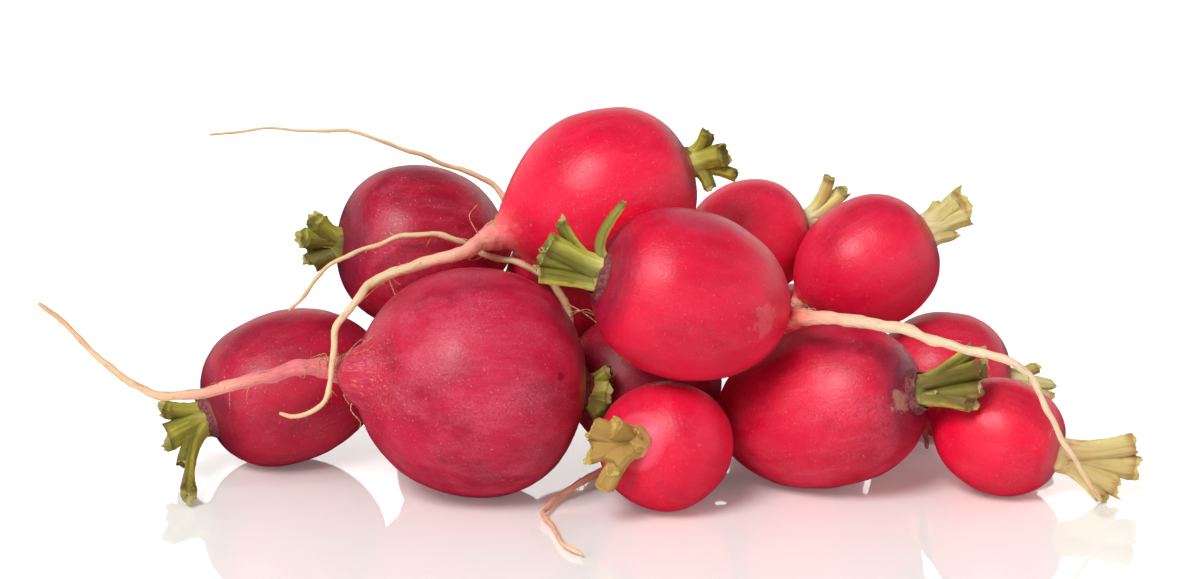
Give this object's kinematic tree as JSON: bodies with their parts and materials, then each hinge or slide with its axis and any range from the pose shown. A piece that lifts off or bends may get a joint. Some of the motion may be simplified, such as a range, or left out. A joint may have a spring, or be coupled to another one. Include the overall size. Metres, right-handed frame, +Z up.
{
  "type": "bunch of radishes",
  "caption": "A loose pile of small round red radishes with thin pale root tails and short cut green leaf stalks, lying on a flat surface.",
  "frame": {"origin": "middle of the pile's bounding box, on the surface that it lies on", "axes": "+X to the right along the length of the pile, +Y away from the front, +Z up"},
  "size_m": [0.1931, 0.0988, 0.0647],
  "materials": {
    "red_skin": "bright red fresh radish skin, satin, running out to pink and cream along the tail",
    "crimson_skin": "dark crimson fresh radish skin, satin, with a pale bloom and fine pale specks",
    "green_stalks": "cut leaf stalks, ribbed green, half matt",
    "cream_stalks": "cut leaf stalks, ribbed yellow-green to cream, half matt"
  },
  "bodies": {
    "root": {"big_front_root": "crimson_skin", "big_front_crown": "green_stalks", "top_root": "red_skin", "top_crown": "green_stalks", "centre_root": "red_skin", "centre_crown": "green_stalks", "left_back_root": "crimson_skin", "left_back_crown": "green_stalks", "far_left_root": "crimson_skin", "far_left_crown": "green_stalks", "front_small_root": "red_skin", "front_small_crown": "cream_stalks", "right_mid_root": "red_skin", "right_mid_crown": "green_stalks", "right_small_root": "red_skin", "right_small_crown": "cream_stalks", "right_top_root": "red_skin", "right_top_crown": "cream_stalks", "back_root": "red_skin", "back_crown": "green_stalks", "back_right_root": "red_skin", "back_right_crown": "cream_stalks", "middle_root": "red_skin", "middle_crown": "green_stalks", "under_left_root": "crimson_skin", "under_left_crown": "green_stalks", "under_right_root": "red_skin", "under_right_crown": "green_stalks", "under_top_root": "red_skin", "under_top_crown": "green_stalks"}
  },
  "joints": []
}
